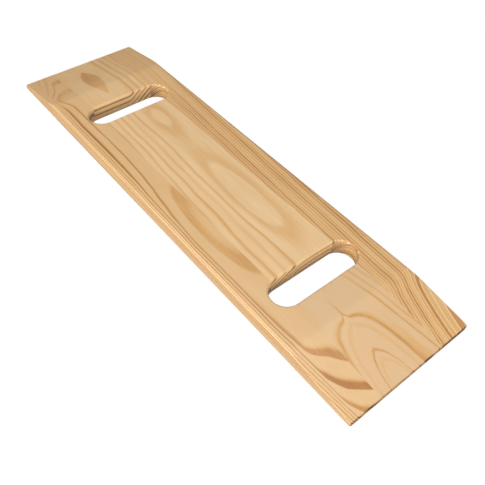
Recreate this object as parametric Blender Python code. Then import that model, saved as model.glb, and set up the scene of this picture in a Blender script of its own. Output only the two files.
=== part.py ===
"""Wooden transfer board: pine staves glued edge to edge, which a seated person slides across.

The board lies flat on its underside. X runs along its length, Y across it and Z up, and the
origin is on the underside, below the middle of the board. The top slopes down to a thin tip at
both ends, the long edges are rounded, and a hand slot goes right through near each end.

Two narrow outer staves run the whole length. The slots are longer than the centre stave is
wide, so they leave it in three blocks: one beyond each slot and one between them.
"""

import math
from functools import partial

import bmesh
import bpy

# Driving dimensions, in metres.
LENGTH = 0.762
WIDTH = 0.2032
THICKNESS = 0.0254
TIP_THICKNESS = 0.0095      # what the slope leaves at each end
TAPER_LENGTH = 0.100        # length of the slope on the top, measured along the board
LONG_EDGE_RADIUS = 0.005    # rounding along both long sides, top and bottom
EASING_RADIUS = 0.0012      # light sanding of the edges that the slope and the saw leave
CENTRE_STAVE_WIDTH = 0.1055 # the outer staves take up the rest of the width
GLUE_GAP = 0.0003           # between a stave's edge and the next stave's
SLOT_LENGTH = 0.1397        # across the board
SLOT_WIDTH = 0.0445         # along the board
SLOT_TO_SLOPE = 0.0651      # from the middle of a slot to where the slope starts
SLOT_EDGE_RADIUS = 0.003    # rounding of each slot's rim, top and bottom

# Fineness of the curved surfaces.
LONG_EDGE_STEPS = 6
EASING_STEPS = 3
SLOPE_STEPS = 8             # sections over the stretch where the slope cuts into the rounding
SLOT_END_STEPS = 24         # over each half circle
SLOT_EDGE_STEPS = 5
CUTTER_OVERRUN = 0.004      # how far a slot's cutter stands out of the board
WELD_DISTANCE = 0.000001
SHARP_ANGLE = math.radians(35)

SLOT_X = LENGTH / 2 - TAPER_LENGTH - SLOT_TO_SLOPE

LEFT_COLOUR = (0.72, 0.49, 0.25, 1.0)
CENTRE_COLOUR = (0.73, 0.54, 0.31, 1.0)
RIGHT_COLOUR = (0.66, 0.43, 0.21, 1.0)
WOOD_ROUGHNESS = 0.35


def clear_scene():
    for obj in list(bpy.data.objects):
        bpy.data.objects.remove(obj)


def wood_material(name, colour):
    material = bpy.data.materials.new(name)
    material.use_nodes = True
    shader = material.node_tree.nodes["Principled BSDF"]
    shader.inputs["Base Color"].default_value = colour
    shader.inputs["Roughness"].default_value = WOOD_ROUGHNESS
    shader.inputs["Metallic"].default_value = 0.0
    return material


def arc(centre_y, centre_z, radius, start, end, steps):
    """Points on a circle in the YZ plane, from one angle to another."""
    angles = [start + (end - start) * step / steps for step in range(steps + 1)]
    return [(centre_y + radius * math.cos(a), centre_z + radius * math.sin(a)) for a in angles]


def outer_section(side, top, inset):
    """An outer stave's section where its top is at this height, side being 1 for +Y, -1 for -Y.

    The long edge is rounded on the full thickness, and the slope then cuts that rounding off at
    the height top. inset draws the outline inwards, for the eased edges of the end face, but not
    where the stave is glued.
    """
    edge_y = WIDTH / 2 - inset
    radius = LONG_EDGE_RADIUS - inset
    easing = EASING_RADIUS - inset
    top -= inset
    rounding_z = min(THICKNESS - LONG_EDGE_RADIUS, top - easing)
    climb = (top - easing - rounding_z) / (radius - easing)
    cut_angle = math.asin(min(climb, 1.0))
    easing_y = edge_y - radius + (radius - easing) * math.cos(cut_angle)
    glued_y = CENTRE_STAVE_WIDTH / 2 + GLUE_GAP
    outline = [(glued_y, top), (glued_y, inset)]
    outline += arc(edge_y - radius, inset + radius, radius, -math.pi / 2, 0, LONG_EDGE_STEPS)
    outline += arc(edge_y - radius, rounding_z, radius, 0, cut_angle, LONG_EDGE_STEPS)
    outline += arc(easing_y, top - easing, easing, cut_angle, math.pi / 2, EASING_STEPS)
    return [(side * y, z) for y, z in outline]


def centre_section(top, inset):
    glued_y = CENTRE_STAVE_WIDTH / 2
    return [(-glued_y, inset), (glued_y, inset), (glued_y, top - inset), (-glued_y, top - inset)]


def sections():
    """(x, top, inset) of each section from where the slope starts to the +X end."""
    fall = (THICKNESS - TIP_THICKNESS) / TAPER_LENGTH
    slope_x = LENGTH / 2 - TAPER_LENGTH
    rounding_run = min(LONG_EDGE_RADIUS / fall, TAPER_LENGTH - 2 * EASING_RADIUS)
    places = [slope_x + rounding_run * (step / SLOPE_STEPS) ** 2 for step in range(SLOPE_STEPS + 1)]
    listed = [(x, THICKNESS - fall * (x - slope_x), 0.0) for x in places]
    for step in range(EASING_STEPS + 1):
        angle = math.pi / 2 * step / EASING_STEPS
        x = LENGTH / 2 - EASING_RADIUS * (1 - math.sin(angle))
        top = THICKNESS - fall * (x - slope_x)
        listed.append((x, top, EASING_RADIUS * (1 - math.cos(angle))))
    return listed


def mesh_object(name, bm):
    bmesh.ops.remove_doubles(bm, verts=bm.verts, dist=WELD_DISTANCE)
    bmesh.ops.recalc_face_normals(bm, faces=bm.faces)
    mesh = bpy.data.meshes.new(name)
    bm.to_mesh(mesh)
    bm.free()
    obj = bpy.data.objects.new(name, mesh)
    bpy.context.scene.collection.objects.link(obj)
    return obj


def loft(bm, rings):
    """Joins closed rings of equally many points and closes both ends."""
    loops = [[bm.verts.new(point) for point in ring] for ring in rings]
    for lower, upper in zip(loops, loops[1:]):
        for i, corner in enumerate(lower):
            following = (i + 1) % len(lower)
            bm.faces.new((corner, lower[following], upper[following], upper[i]))
    bm.faces.new(loops[0])
    bm.faces.new(loops[-1])


def mirrored(places):
    """The same sections at the -X end, in the order of rising x."""
    return [(-x, top, inset) for x, top, inset in reversed(places)]


def stave(name, colour, places, section):
    """A length of wood whose section at each place is section(top, inset)."""
    bm = bmesh.new()
    loft(bm, [[(x, y, z) for y, z in section(top, inset)] for x, top, inset in places])
    piece = mesh_object(name, bm)
    piece.data.materials.append(wood_material(name + "_pine", colour))
    piece.data.shade_smooth()
    piece.data.set_sharp_from_angle(angle=SHARP_ANGLE)
    return piece


def stadium(centre_x, outset, z):
    """A slot's outline at a height, its straight sides across the board."""
    radius = SLOT_WIDTH / 2 + outset
    straight = SLOT_LENGTH / 2 - SLOT_WIDTH / 2
    points = []
    for turn, end_y in ((0.0, straight), (math.pi, -straight)):
        for step in range(SLOT_END_STEPS + 1):
            angle = turn + math.pi * step / SLOT_END_STEPS
            points.append((centre_x + radius * math.cos(angle), end_y + radius * math.sin(angle), z))
    return points


def slot_cutter(name, centre_x):
    """The space of one hand slot, flared at both faces so that it leaves rounded rims."""
    flare = []
    for step in range(SLOT_EDGE_STEPS + 1):
        angle = math.pi / 2 * step / SLOT_EDGE_STEPS
        depth = SLOT_EDGE_RADIUS * (1 - math.sin(angle))
        flare.append((SLOT_EDGE_RADIUS * (1 - math.cos(angle)), depth))
    heights = [(SLOT_EDGE_RADIUS, -CUTTER_OVERRUN)]
    heights += [(outset, depth) for outset, depth in reversed(flare)]
    heights += [(outset, THICKNESS - depth) for outset, depth in flare]
    heights.append((SLOT_EDGE_RADIUS, THICKNESS + CUTTER_OVERRUN))
    bm = bmesh.new()
    loft(bm, [stadium(centre_x, outset, z) for outset, z in heights])
    cutter = mesh_object(name, bm)
    cutter.hide_render = True
    cutter.display_type = "WIRE"
    return cutter


def cut(piece, *cutters):
    for cutter in cutters:
        modifier = piece.modifiers.new(cutter.name, "BOOLEAN")
        modifier.operation = "DIFFERENCE"
        modifier.object = cutter


def build():
    clear_scene()
    near_slot = slot_cutter("near_slot_cutter", SLOT_X)
    far_slot = slot_cutter("far_slot_cutter", -SLOT_X)
    near_end = sections()
    far_end = mirrored(near_end)
    left = partial(outer_section, -1)
    right = partial(outer_section, 1)
    # Each block of the centre stave starts inside its slot, which then trims it.
    near_start = (SLOT_X, THICKNESS, 0.0)
    far_start = (-SLOT_X, THICKNESS, 0.0)
    cut(stave("left_stave", LEFT_COLOUR, far_end + near_end, left), near_slot, far_slot)
    cut(stave("right_stave", RIGHT_COLOUR, far_end + near_end, right), near_slot, far_slot)
    cut(stave("near_block", CENTRE_COLOUR, [near_start] + near_end, centre_section), near_slot)
    cut(stave("far_block", CENTRE_COLOUR, far_end + [far_start], centre_section), far_slot)
    middle = stave("middle_block", CENTRE_COLOUR, [far_start, near_start], centre_section)
    cut(middle, near_slot, far_slot)


build()
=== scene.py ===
"""Wooden transfer board on a white floor: lacquered pine staves glued edge to edge.

The board lies flat, with X along it, Y across it and Z up. Its near end is the one at +X, its
left side is at -Y. Each of its five pieces has growth rings of its own, so the grain jumps where
two of them meet. The rings are a field in three dimensions: the top, the sides, the ends and the
walls of the hand slots all cut through the same rings.
"""

import math
from functools import partial

import bmesh
import bpy
from mathutils import Matrix, Vector

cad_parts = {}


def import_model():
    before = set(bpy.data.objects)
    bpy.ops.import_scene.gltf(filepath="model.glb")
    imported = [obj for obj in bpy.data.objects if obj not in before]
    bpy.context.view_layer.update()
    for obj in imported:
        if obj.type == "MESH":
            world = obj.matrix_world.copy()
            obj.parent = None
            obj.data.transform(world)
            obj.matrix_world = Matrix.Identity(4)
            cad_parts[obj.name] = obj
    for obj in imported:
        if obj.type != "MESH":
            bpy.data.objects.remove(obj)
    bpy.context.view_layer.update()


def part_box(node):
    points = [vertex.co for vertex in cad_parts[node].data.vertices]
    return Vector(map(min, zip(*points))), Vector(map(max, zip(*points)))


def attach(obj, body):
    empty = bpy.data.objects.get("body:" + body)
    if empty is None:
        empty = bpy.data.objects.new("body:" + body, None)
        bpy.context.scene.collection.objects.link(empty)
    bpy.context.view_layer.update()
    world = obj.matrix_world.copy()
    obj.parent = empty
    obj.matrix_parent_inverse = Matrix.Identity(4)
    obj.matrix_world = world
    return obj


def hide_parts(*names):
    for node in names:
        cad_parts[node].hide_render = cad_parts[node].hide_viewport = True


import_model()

# Overall sizes come from the CAD model's boxes, in metres.
left_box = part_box("left_stave")
middle_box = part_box("middle_block")
near_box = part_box("near_block")
LENGTH = left_box[1][0] - left_box[0][0]
WIDTH = -2 * left_box[0][1]
THICKNESS = middle_box[1][2]
GLUE_Y = (near_box[1][1] - left_box[1][1]) / 2  # pieces meet in the middle of the glue gap
SLOT_X = (middle_box[1][0] + near_box[0][0]) / 2
SLOT_WIDTH = near_box[0][0] - middle_box[1][0]

# The CAD model's other sizes.
SLOT_LENGTH = 0.1397
TIP_THICKNESS = 0.0095
TAPER_LENGTH = 0.100
LONG_EDGE_RADIUS = 0.005
EASING_RADIUS = 0.0012
SLOT_EDGE_RADIUS = 0.003
SLOPE_X = LENGTH / 2 - TAPER_LENGTH
FALL = (THICKNESS - TIP_THICKNESS) / TAPER_LENGTH

# The same in millimetres, which the fields of the wood use.
LENGTH_MM = LENGTH * 1000
THICKNESS_MM = THICKNESS * 1000
GLUE_MM = GLUE_Y * 1000
SLOPE_MM = SLOPE_X * 1000

# Sanding of the board's four corners, seen from above, which only the visual model has.
CORNER_RADIUS = 0.0025
CORNER_SHARE = 0.7          # of a full quarter circle, which the sanding doesn't quite reach

# Fineness of the meshes.
SECTION_SPACING = 0.006
LONG_EDGE_STEPS = 12
EASING_STEPS = 5
SLOT_END_STEPS = 48
SLOT_EDGE_STEPS = 8
CUTTER_OVERRUN = 0.004      # how far a slot's cutter stands out of the board
WELD_DISTANCE = 0.000001
SHARP_ANGLE = math.radians(35)


# --- Shapes ---

def arc(centre_y, centre_z, radius, start, end, steps):
    """Points on a circle in the YZ plane, from one angle to another."""
    angles = [start + (end - start) * step / steps for step in range(steps + 1)]
    return [(centre_y + radius * math.cos(a), centre_z + radius * math.sin(a)) for a in angles]


def corner_inset(x):
    """How far the rounded corner of the board's outline draws its long side in, at this x."""
    past = x - (LENGTH / 2 - CORNER_RADIUS)
    if past <= 0:
        return 0.0
    return CORNER_RADIUS - math.sqrt(max(CORNER_RADIUS ** 2 - past ** 2, 0))


def outer_section(side, x, top, inset):
    """An outer stave's section where its top is at this height, side being 1 for +Y, -1 for -Y."""
    edge_y = WIDTH / 2 - max(inset, CORNER_SHARE * corner_inset(abs(x)))
    radius = LONG_EDGE_RADIUS - inset
    easing = EASING_RADIUS - inset
    top -= inset
    rounding_z = min(THICKNESS - LONG_EDGE_RADIUS, top - easing)
    climb = (top - easing - rounding_z) / (radius - easing)
    cut_angle = math.asin(min(climb, 1.0))
    easing_y = edge_y - radius + (radius - easing) * math.cos(cut_angle)
    outline = [(GLUE_Y, top), (GLUE_Y, inset)]
    outline += arc(edge_y - radius, inset + radius, radius, -math.pi / 2, 0, LONG_EDGE_STEPS)
    outline += arc(edge_y - radius, rounding_z, radius, 0, cut_angle, LONG_EDGE_STEPS)
    outline += arc(easing_y, top - easing, easing, cut_angle, math.pi / 2, EASING_STEPS)
    return [(side * y, z) for y, z in outline]


def centre_section(x, top, inset):
    """A centre block's section, a rectangle from glue line to glue line at any x."""
    return [(-GLUE_Y, inset), (GLUE_Y, inset), (GLUE_Y, top - inset), (-GLUE_Y, top - inset)]


def flat_places(start, end):
    """(x, top, inset) of evenly spaced sections between two places on the flat of the board."""
    count = math.ceil((end - start) / SECTION_SPACING)
    return [(start + (end - start) * step / count, THICKNESS, 0.0) for step in range(count)]


def slope_places():
    """(x, top, inset) of each section from where the slope starts to the +X end."""
    end = LENGTH / 2 - EASING_RADIUS
    count = math.ceil((end - SLOPE_X) / (SECTION_SPACING / 2))
    places = [SLOPE_X + (end - SLOPE_X) * step / count for step in range(count)]
    listed = [(x, THICKNESS - FALL * (x - SLOPE_X), 0.0) for x in places]
    for step in range(EASING_STEPS + 1):
        angle = math.pi / 2 * step / EASING_STEPS
        x = LENGTH / 2 - EASING_RADIUS * (1 - math.sin(angle))
        top = THICKNESS - FALL * (x - SLOPE_X)
        listed.append((x, top, EASING_RADIUS * (1 - math.cos(angle))))
    return listed


def mirrored(places):
    """The same sections at the -X end, in the order of rising x."""
    return [(-x, top, inset) for x, top, inset in reversed(places)]


def mesh_object(name, bm):
    bmesh.ops.remove_doubles(bm, verts=bm.verts, dist=WELD_DISTANCE)
    bmesh.ops.recalc_face_normals(bm, faces=bm.faces)
    mesh = bpy.data.meshes.new(name)
    bm.to_mesh(mesh)
    bm.free()
    obj = bpy.data.objects.new(name, mesh)
    bpy.context.scene.collection.objects.link(obj)
    return obj


def loft(bm, rings):
    """Joins closed rings of equally many points and closes both ends."""
    loops = [[bm.verts.new(point) for point in ring] for ring in rings]
    for lower, upper in zip(loops, loops[1:]):
        for i, corner in enumerate(lower):
            following = (i + 1) % len(lower)
            bm.faces.new((corner, lower[following], upper[following], upper[i]))
    bm.faces.new(loops[0])
    bm.faces.new(loops[-1])


def stadium(centre_x, outset, z):
    """A slot's outline at a height, its straight sides across the board."""
    radius = SLOT_WIDTH / 2 + outset
    straight = SLOT_LENGTH / 2 - SLOT_WIDTH / 2
    points = []
    for turn, end_y in ((0.0, straight), (math.pi, -straight)):
        for step in range(SLOT_END_STEPS + 1):
            angle = turn + math.pi * step / SLOT_END_STEPS
            x = centre_x + radius * math.cos(angle)
            points.append((x, end_y + radius * math.sin(angle), z))
    return points


def slot_cutter(name, centre_x):
    """The space of one hand slot, flared at both faces so that it leaves rounded rims."""
    flare = []
    for step in range(SLOT_EDGE_STEPS + 1):
        angle = math.pi / 2 * step / SLOT_EDGE_STEPS
        depth = SLOT_EDGE_RADIUS * (1 - math.sin(angle))
        flare.append((SLOT_EDGE_RADIUS * (1 - math.cos(angle)), depth))
    heights = [(SLOT_EDGE_RADIUS, -CUTTER_OVERRUN)]
    heights += [(outset, depth) for outset, depth in reversed(flare)]
    heights += [(outset, THICKNESS - depth) for outset, depth in flare]
    heights.append((SLOT_EDGE_RADIUS, THICKNESS + CUTTER_OVERRUN))
    bm = bmesh.new()
    loft(bm, [stadium(centre_x, outset, z) for outset, z in heights])
    return mesh_object(name, bm)


def bake_modifiers(piece):
    """Makes the piece's evaluated mesh its own."""
    graph = bpy.context.evaluated_depsgraph_get()
    mesh = bpy.data.meshes.new_from_object(piece.evaluated_get(graph))
    piece.modifiers.clear()
    piece.data = mesh


def stave(name, places, section, cutters):
    """A length of wood with this section at each place, cut by the slots that reach it."""
    bm = bmesh.new()
    loft(bm, [[(x, y, z) for y, z in section(x, top, inset)] for x, top, inset in places])
    piece = mesh_object(name, bm)
    for cutter in cutters:
        modifier = piece.modifiers.new(cutter.name, "BOOLEAN")
        modifier.operation = "DIFFERENCE"
        modifier.object = cutter
    bake_modifiers(piece)
    piece.data.shade_smooth()
    piece.data.set_sharp_from_angle(angle=SHARP_ANGLE)
    weighted = piece.modifiers.new("weighted_normals", "WEIGHTED_NORMAL")
    weighted.keep_sharp = True
    return piece


def board():
    """The board's five pieces, {name: object}."""
    near_slot = slot_cutter("near_slot_cutter", SLOT_X)
    far_slot = slot_cutter("far_slot_cutter", -SLOT_X)
    both = (near_slot, far_slot)
    near_end = slope_places()
    far_end = mirrored(near_end)
    whole = far_end + flat_places(-SLOPE_X, SLOPE_X)[1:] + near_end
    near = flat_places(SLOT_X, SLOPE_X) + near_end
    far = mirrored(near)
    between = flat_places(-SLOT_X, SLOT_X) + [(SLOT_X, THICKNESS, 0.0)]
    pieces = {
        "left_stave": stave("left_stave_wood", whole, partial(outer_section, -1), both),
        "right_stave": stave("right_stave_wood", whole, partial(outer_section, 1), both),
        "near_block": stave("near_block_wood", near, centre_section, (near_slot,)),
        "middle_block": stave("middle_block_wood", between, centre_section, both),
        "far_block": stave("far_block_wood", far, centre_section, (far_slot,)),
    }
    for cutter in both:
        bpy.data.objects.remove(cutter)
    return pieces


# --- Fields: numbers that vary through the wood, as chains of math nodes ---

class Field:
    """A number at each point of the wood."""

    def __init__(self, tree, socket):
        self.tree = tree
        self.socket = socket

    def into(self, socket):
        self.tree.links.new(self.socket, socket)

    def __add__(self, other):
        return calculate(self.tree, "ADD", self, other)

    def __radd__(self, other):
        return calculate(self.tree, "ADD", other, self)

    def __sub__(self, other):
        return calculate(self.tree, "SUBTRACT", self, other)

    def __rsub__(self, other):
        return calculate(self.tree, "SUBTRACT", other, self)

    def __mul__(self, other):
        return calculate(self.tree, "MULTIPLY", self, other)

    def __rmul__(self, other):
        return calculate(self.tree, "MULTIPLY", other, self)

    def __truediv__(self, other):
        return calculate(self.tree, "DIVIDE", self, other)


def calculate(tree, operation, *values):
    """A math node's result for these fields and plain numbers."""
    node = tree.nodes.new("ShaderNodeMath")
    node.operation = operation
    for value, socket in zip(values, node.inputs):
        if isinstance(value, Field):
            value.into(socket)
        else:
            socket.default_value = value
    return Field(tree, node.outputs[0])


def axes(tree, vector):
    """The three parts of a vector socket."""
    node = tree.nodes.new("ShaderNodeSeparateXYZ")
    tree.links.new(vector, node.inputs["Vector"])
    return [Field(tree, socket) for socket in node.outputs]


def rise(field, start, end):
    """0 up to start and 1 from end, with a smooth climb between."""
    node = field.tree.nodes.new("ShaderNodeMapRange")
    node.interpolation_type = "SMOOTHSTEP"
    field.into(node.inputs["Value"])
    node.inputs["From Min"].default_value = start
    node.inputs["From Max"].default_value = end
    return Field(field.tree, node.outputs["Result"])


def bump(x, y, centre_x, centre_y, reach_x, reach_y):
    """A smooth hill of height 1 in the XY plane."""
    across = (x - centre_x) / reach_x
    along = (y - centre_y) / reach_y
    return calculate(x.tree, "EXPONENT", 0.0 - (across * across + along * along))


def ridge(field, centre, reach):
    """A smooth hill of height 1 along one field."""
    away = (field - centre) / reach
    return calculate(field.tree, "EXPONENT", 0.0 - away * away)


def above(field, softness):
    """The field where it is positive and 0 elsewhere, with a soft corner."""
    return calculate(field.tree, "SMOOTH_MAX", field, 0.0, softness)


def below(field, softness):
    """The field where it is negative and 0 elsewhere, with a soft corner."""
    return calculate(field.tree, "SMOOTH_MIN", field, 0.0, softness)


def noise(x, y, z, sizes, detail=2.0, roughness=0.5, seed=0.0):
    """Noise from -0.5 to 0.5, its blotches about this large along each axis."""
    tree = x.tree
    combine = tree.nodes.new("ShaderNodeCombineXYZ")
    for field, size, socket in zip((x, y, z), sizes, combine.inputs):
        (field / size + seed).into(socket)
    node = tree.nodes.new("ShaderNodeTexNoise")
    node.inputs["Scale"].default_value = 1.0
    node.inputs["Detail"].default_value = detail
    node.inputs["Roughness"].default_value = roughness
    tree.links.new(combine.outputs["Vector"], node.inputs["Vector"])
    return Field(tree, node.outputs["Fac"]) - 0.5


# --- Growth rings: a count that goes up by one from ring to ring, from places in mm ---

# Where each piece's count starts, so that its rings have strengths of their own.
FAR_START = 10.0
MIDDLE_START = 20.0
NEAR_START = 30.0
RIGHT_START = 60.0

# The right stave's rings are evenly tight up to a line and grow wider beyond it, in mm.
TIGHT_SPACING = 4.4
WIDE_RINGS_START = 108.0
WIDE_RING_COUNT = 3.0       # how many come in each time their distance grows e-fold
WIDE_RING_GROWTH = 0.0857

# The plain numbers in the fields below are the places and reaches of the grain's figures in mm,
# their heights in rings, and how many rings there are to a millimetre.


def slope_drop(x):
    """How far the sloped top lies below the flat one here."""
    return above(calculate(x.tree, "ABSOLUTE", x) - SLOPE_MM, 4.0) * FALL


def left_rings(x, y, depth):
    """A shallow bowl under the glue line, with tight rings along the board's edge."""
    from_glue = calculate(x.tree, "MAXIMUM", 0.0 - GLUE_MM - y, 0.0)
    # The bowl's width changes along the board, and its floor is flat except at the near end.
    reach = 22.0 + 18.0 * rise(x, -110.0, 110.0) - 4.0 * rise(x, 200.0, 290.0)
    reach = reach + 17.0 * ridge(x, -293.0, 20.0)
    share = calculate(x.tree, "MINIMUM", from_glue / reach, 1.0)
    near = rise(x, 280.0, 315.0)
    bent_share = calculate(x.tree, "POWER", share, 5.0) * (1.0 - near) + share * near
    count = 5.25 + 0.75 * bent_share + above(from_glue - reach, 2.0) / 17.0
    count = count + above(from_glue - 36.0, 3.0) / 5.5
    # The boat-shaped figure.
    count = count - 0.85 * bump(x, from_glue, 79.0, 0.0, 99.0, 23.5)
    # The slopes cut into deeper rings, which makes the flames.
    far = rise(0.0 - x, 240.0, 290.0)
    drop = slope_drop(x)
    count = count + (0.03 + 0.06 * far + 0.005 * drop * (1.0 - 0.5 * far)) * drop
    steepness = 0.05 + 0.15 * rise(from_glue, 22.0, 48.0)
    return count + steepness * (depth - 0.6 * drop)


def right_rings(x, y, depth):
    """Tight rings that drift towards the middle, and wide ones that the near slope lays bare."""
    from_glue = y - GLUE_MM
    tilt = 1.1 + rise(x, 240.0, 300.0) * (0.5 + 0.0011 * from_glue * from_glue)
    bend = slope_drop(x) * (1.0 - rise(x, 270.0, 312.0))
    across = y + 0.054 * x + tilt * (depth - bend) - WIDE_RINGS_START
    across = across + 2.4 * noise(x, y, depth, (80.0, 12.0, 12.0), 1.0, seed=31.0)
    distance = above(across, 2.0) * WIDE_RING_GROWTH + 1.0
    wide = WIDE_RING_COUNT * calculate(x.tree, "LOGARITHM", distance, math.e)
    return RIGHT_START + below(across, 2.0) / TIGHT_SPACING + wide


def far_block_rings(x, y, depth):
    """Lines along the glued edge and one oval where a ring only just reaches the top."""
    count = 0.2 + above(y - 16.0, 8.0) / 12.0
    along = (x + 303.0) / 54.0
    half_width = 17.0 - 6.0 * along
    leaf = 1.0 - along * along - calculate(x.tree, "ABSOLUTE", y + 12.0) / half_width
    count = count + 0.5 * rise(leaf, 0.0, 0.35)
    return FAR_START + count + 0.11 * (depth - 0.85 * slope_drop(x))


def middle_block_rings(x, y, depth):
    """A long hill of rings beside a saddle, and soft lines along the other edge."""
    y = y + 11.0 * noise(x, y, depth, (110.0, 40.0, 40.0), 1.5, seed=21.0)
    count = 0.3 - above(-3.0 - y, 10.0) / (11.0 + 5.0 * rise(x, -120.0, 160.0))
    count = count + 1.05 * bump(x, y, 54.0, 19.0, 112.0, 24.0)
    count = count + 0.75 * bump(x, y, -158.0, 22.0, 55.0, 18.0)
    return MIDDLE_START + count + 0.12 * depth


def near_block_rings(x, y, depth):
    """Tongues that the slope cuts out of the rings, and lines along their right side."""
    from_axis = calculate(x.tree, "ABSOLUTE", y + 18.0)
    drift = 0.16 * (x - 284.0) * rise(y, 5.0, 30.0)
    count = 0.33 - above(from_axis - 42.0 - drift, 6.0) / 10.0
    count = count + 0.14 * bump(x, y, 283.0, -18.0, 46.0, 3.5)
    tongue = ridge(from_axis, 0.0, 24.0)
    return NEAR_START + count + (0.004 + 0.125 * tongue) * depth


# --- Materials ---

def colour_ramp(tree, factor, stops):
    """A colour for each (place, colour), blended between them."""
    node = tree.nodes.new("ShaderNodeValToRGB")
    ramp = node.color_ramp
    while len(ramp.elements) < len(stops):
        ramp.elements.new(0.5)
    for element, (place, colour) in zip(ramp.elements, stops):
        element.position = place
        element.color = (*colour, 1.0)
    factor.into(node.inputs["Fac"])
    return node.outputs["Color"]


def mix_colours(tree, share, first, second):
    """The second colour by this share and the first for the rest."""
    node = tree.nodes.new("ShaderNodeMixRGB")
    share.into(node.inputs["Fac"])
    tree.links.new(first, node.inputs["Color1"])
    tree.links.new(second, node.inputs["Color2"])
    return node.outputs["Color"]


def linear(red, green, blue):
    """An sRGB colour, 0 to 255, as linear values."""
    def channel(value):
        value /= 255
        return value / 12.92 if value <= 0.04045 else ((value + 0.055) / 1.055) ** 2.4
    return channel(red), channel(green), channel(blue)


# The palest colours of the pieces, then what the rings darken to, and the end grain's range.
PALE = linear(223, 189, 142)
PINKISH = linear(209, 174, 131)
GOLDEN = linear(214, 177, 129)
TAN = linear(207, 161, 103)
BROWN = linear(166, 112, 52)
END_PALE = linear(222, 180, 126)
END_DARK = linear(92, 56, 28)

# How large the noises are along X, Y and Z, in mm.
SLOW_WAVE = (75.0, 30.0, 30.0)
QUICK_WAVE = (22.0, 9.0, 9.0)
STREAK = (70.0, 2.4, 2.4)
FIBRE = (22.0, 0.45, 0.45)
BLOTCH = (90.0, 22.0, 22.0)
RESIN_CANAL = (4.5, 0.35, 0.35)

SIDE_CONTRAST = 1.15        # of the ring lines on the two long sides
COAT_WEIGHT = 0.2
COAT_ROUGHNESS = 0.28
RELIEF_STRENGTH = 0.35
RELIEF_HEIGHT = 0.0001      # in metres


def wavering(x, y, depth):
    """Places across the board, moved a little so that the rings waver."""
    slow = 3.2 * noise(x, y, depth, SLOW_WAVE, 1.0)
    quick = 1.2 * noise(x, y, depth, QUICK_WAVE, 1.0, seed=7.0)
    return y + slow + quick


def ring_strengths(count):
    """How dark each ring's latewood is, from 0.5 to 1, the same all through a ring."""
    white = count.tree.nodes.new("ShaderNodeTexWhiteNoise")
    white.noise_dimensions = "1D"
    calculate(count.tree, "FLOOR", count).into(white.inputs["W"])
    return Field(count.tree, white.outputs["Value"]) * 0.5 + 0.5


def wood_material(name, rings, profile, contrast, tone_with_painted_light, pale):
    """Pine whose latewood share is profile(phase, x, y), phase running from 0 to 1 in each ring."""
    material = bpy.data.materials.new(name)
    material.use_nodes = True
    tree = material.node_tree
    shader = tree.nodes["Principled BSDF"]
    coordinates = tree.nodes.new("ShaderNodeTexCoord")
    x, y, z = (axis * 1000.0 for axis in axes(tree, coordinates.outputs["Object"]))
    depth = THICKNESS_MM - z
    count = rings(x, wavering(x, y, depth), depth)
    latewood = profile(calculate(tree, "FRACT", count), x, y) * ring_strengths(count)

    normal = axes(tree, coordinates.outputs["Normal"])
    facing_x, facing_y = [calculate(tree, "ABSOLUTE", axis) for axis in normal[:2]]
    end_grain = rise(facing_x, 0.25, 0.95)
    side = rise(facing_y, 0.35, 0.9)
    streaks = noise(x, y, z, STREAK, 2.0, 0.6, seed=3.0)
    fibres = noise(x, y, z, FIBRE, 2.0, 0.6, seed=5.0)
    blotches = noise(x, y, z, BLOTCH, 2.0, seed=11.0)
    canals = rise(noise(x, y, z, RESIN_CANAL, 0.0, seed=17.0), 0.20, 0.30)

    # 0 is the palest wood and 1 the darkest, for wood cut along the grain and for end grain.
    line_contrast = contrast(x, y)
    line_contrast = line_contrast + side * (SIDE_CONTRAST - line_contrast)
    # The tone carries painted shade towards the far end and, on the left stave, a painted highlight
    # along the left edge.
    wood = tone_with_painted_light(x, y) - 0.03 * side + latewood * line_contrast + blotches * 0.35
    wood = wood + streaks * 0.32 + fibres * (0.16 - 0.1 * side)
    wood = wood + canals * (0.10 + 0.15 * latewood)
    # Painted shade: the end grain of the board's two end faces is darkened beyond that of the slot
    # walls.
    end_face_shade = rise(calculate(tree, "ABSOLUTE", x), SLOPE_MM, LENGTH_MM / 2)
    ends = latewood * 0.95 + fibres * 0.3 + blotches * 0.5 + 0.45 * end_face_shade
    colour = colour_ramp(tree, wood, ((0.0, pale), (0.5, TAN), (1.0, BROWN)))
    end_colour = colour_ramp(tree, ends, ((0.0, END_PALE), (1.0, END_DARK)))
    tree.links.new(mix_colours(tree, end_grain, colour, end_colour), shader.inputs["Base Color"])

    roughness = 0.48 - 0.10 * latewood + 0.12 * streaks + 0.15 * end_grain
    roughness.into(shader.inputs["Roughness"])
    shader.inputs["Coat Weight"].default_value = COAT_WEIGHT
    shader.inputs["Coat Roughness"].default_value = COAT_ROUGHNESS
    relief = tree.nodes.new("ShaderNodeBump")
    relief.inputs["Strength"].default_value = RELIEF_STRENGTH
    relief.inputs["Distance"].default_value = RELIEF_HEIGHT
    (0.6 * latewood + fibres + 0.8 * streaks - 0.6 * canals).into(relief.inputs["Height"])
    tree.links.new(relief.outputs["Normal"], shader.inputs["Normal"])
    return material


def band(phase, start, full, fading, end):
    """1 from full to fading, 0 outside start to end."""
    return rise(phase, start, full) * (1.0 - rise(phase, fading, end))


def soft_latewood(phase, x, y):
    """Brown that deepens slowly over half of the ring."""
    return band(phase, 0.45, 0.82, 0.88, 1.0)


def full_latewood(phase, x, y):
    """Brown that fades in and then ends sharply."""
    return band(phase, 0.44, 0.72, 0.90, 0.98)


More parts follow.
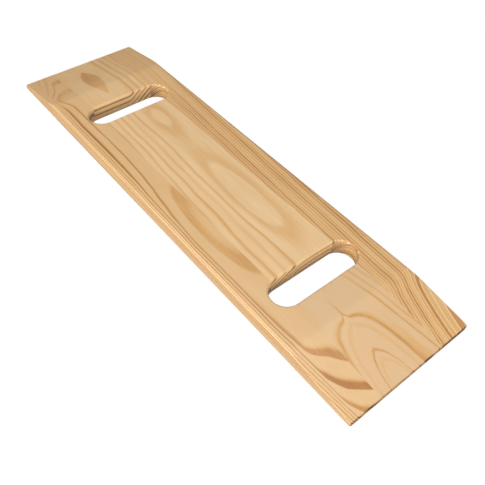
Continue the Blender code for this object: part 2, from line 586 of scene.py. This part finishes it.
def double_latewood(phase, x, y):
    """A fine brown line and a fainter one that follows it, broader to the right of the tongues."""
    fine = band(phase, 0.40, 0.49, 0.51, 0.58) + 0.4 * band(phase, 0.66, 0.74, 0.78, 0.88)
    broad = band(phase, 0.30, 0.50, 0.58, 0.74)
    right = rise(y, 21.0, 30.0)
    return fine + right * (broad - fine)


def wide_latewood(phase, x, y):
    """Brown over most of the ring, with one thin pale line of earlywood."""
    return band(phase, 0.0, 0.18, 0.86, 0.96)


# What sets each piece of wood apart: (rings, latewood, contrast, tone with painted shade and
# highlight, palest colour). The tones darken towards the far end as painted shade.
WOODS = {
    "left_stave": (
        left_rings,
        full_latewood,
        lambda x, y: 0.95 - 0.5 * rise(0.0 - x, 230.0, 310.0),
        # Painted shade: darker towards the far end. Painted highlight: paler from 82 mm left of the
        # middle out to the left edge and over its rounding.
        lambda x, y: 0.1 + 0.1 * rise(0.0 - x, 220.0, 330.0) - 0.14 * rise(0.0 - y, 82.0, 96.0),
        GOLDEN,
    ),
    "right_stave": (
        right_rings,
        wide_latewood,
        lambda x, y: 0.95 - 0.4 * rise(0.0 - x, 150.0, 300.0),
        # Painted shade: darker towards the far end.
        lambda x, y: 0.14 * rise(0.0 - x, 200.0, 330.0) - 0.08,
        PALE,
    ),
    "near_block": (
        near_block_rings,
        double_latewood,
        lambda x, y: 0.8,
        lambda x, y: 0.03 + 0.02 * rise(x, 270.0, 330.0),
        PINKISH,
    ),
    "middle_block": (
        middle_block_rings,
        soft_latewood,
        lambda x, y: 0.56 - 0.1 * rise(0.0 - y, -4.0, 6.0),
        lambda x, y: 0.08,
        PALE,
    ),
    "far_block": (
        far_block_rings,
        soft_latewood,
        lambda x, y: 0.5,
        # Painted shade: darker towards the far end.
        lambda x, y: 0.16 + 0.1 * rise(0.0 - x, 270.0, 340.0),
        PALE,
    ),
}


# --- Stage: floor, lights and camera ---

FLOOR_GAP = 0.001   # keeps the floor clear of the underside, which would flicker on it
FLOOR_HALF_SIZE = 6.0
WORLD_COLOUR = (0.95, 0.97, 1.0, 1.0)
WORLD_STRENGTH = 0.26
SENSOR_WIDTH = 36.0
CAMERA_LENS = 44.54
CAMERA_PLACE = (0.5047, -0.3771, 0.6148)
CAMERA_FORWARD = (-0.4900, 0.4318, -0.7573)
CAMERA_RIGHT = (0.6300, 0.7758, 0.0347)


def white_where(share, other):
    """A shader that is plain white by this share and other for the rest."""
    tree = share.tree
    white = tree.nodes.new("ShaderNodeEmission")
    mix = tree.nodes.new("ShaderNodeMixShader")
    share.into(mix.inputs["Fac"])
    tree.links.new(other, mix.inputs[1])
    tree.links.new(white.outputs["Emission"], mix.inputs[2])
    return mix.outputs["Shader"]


def seen_by_the_camera(tree):
    """1 for rays that come straight from the camera and 0 for all others."""
    path = tree.nodes.new("ShaderNodeLightPath")
    return Field(tree, path.outputs["Is Camera Ray"])


def floor():
    """A plain white ground: white from above, and clear from below and to all other light."""
    bm = bmesh.new()
    bmesh.ops.create_grid(bm, x_segments=1, y_segments=1, size=FLOOR_HALF_SIZE)
    obj = mesh_object("floor", bm)
    obj.location.z = -FLOOR_GAP
    material = bpy.data.materials.new("white_ground")
    material.use_nodes = True
    tree = material.node_tree
    tree.nodes.remove(tree.nodes["Principled BSDF"])
    clear = tree.nodes.new("ShaderNodeBsdfTransparent")
    geometry = tree.nodes.new("ShaderNodeNewGeometry")
    from_above = 1.0 - Field(tree, geometry.outputs["Backfacing"])
    shown = white_where(seen_by_the_camera(tree) * from_above, clear.outputs["BSDF"])
    tree.links.new(shown, tree.nodes["Material Output"].inputs["Surface"])
    obj.data.materials.append(material)


def area_light(name, place, size, power):
    """A rectangle of light that faces the middle of the board, in metres and watts."""
    light = bpy.data.lights.new(name, "AREA")
    light.shape = "RECTANGLE"
    light.size, light.size_y = size
    light.energy = power
    obj = bpy.data.objects.new(name, light)
    obj.location = place
    obj.rotation_euler = (-Vector(place)).to_track_quat("-Z", "Y").to_euler()
    bpy.context.scene.collection.objects.link(obj)
    return obj


def lights():
    area_light("key", (0.0, -1.7, 0.6), (2.0, 0.6), 36.0)
    area_light("overhead", (0.15, 0.1, 1.9), (1.0, 1.0), 16.6)
    # These two lift the walls of the slots and the underside, and leave no glare.
    front_fill = area_light("front_fill", (1.9, -0.2, 0.5), (1.2, 0.6), 20.0)
    from_below = area_light("from_below", (0.3, -0.3, -1.5), (1.5, 1.5), 16.0)
    front_fill.visible_glossy = False
    from_below.visible_glossy = False
    from_below.visible_camera = False


def world():
    """Faint light from all around, which the camera sees as plain white."""
    studio = bpy.data.worlds.new("studio")
    studio.use_nodes = True
    tree = studio.node_tree
    background = tree.nodes["Background"]
    background.inputs["Color"].default_value = WORLD_COLOUR
    background.inputs["Strength"].default_value = WORLD_STRENGTH
    output = tree.nodes["World Output"]
    shown = white_where(seen_by_the_camera(tree), background.outputs["Background"])
    tree.links.new(shown, output.inputs["Surface"])
    bpy.context.scene.world = studio


def camera():
    data = bpy.data.cameras.new("camera")
    data.sensor_width = SENSOR_WIDTH
    data.lens = CAMERA_LENS
    obj = bpy.data.objects.new("camera", data)
    forward = Vector(CAMERA_FORWARD).normalized()
    right = Vector(CAMERA_RIGHT)
    right = (right - right.dot(forward) * forward).normalized()
    up = right.cross(forward)
    turn = Matrix((right, up, -forward)).transposed()
    obj.matrix_world = Matrix.Translation(CAMERA_PLACE) @ turn.to_4x4()
    bpy.context.scene.collection.objects.link(obj)
    bpy.context.scene.camera = obj


def finish():
    pieces = board()
    for node, piece in pieces.items():
        material = wood_material(node + "_pine", *WOODS[node])
        piece.data.materials.clear()
        piece.data.materials.append(material)
        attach(piece, "root")
        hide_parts(node)
    floor()
    lights()
    world()
    camera()
    bpy.context.scene.view_settings.view_transform = "Standard"


finish()
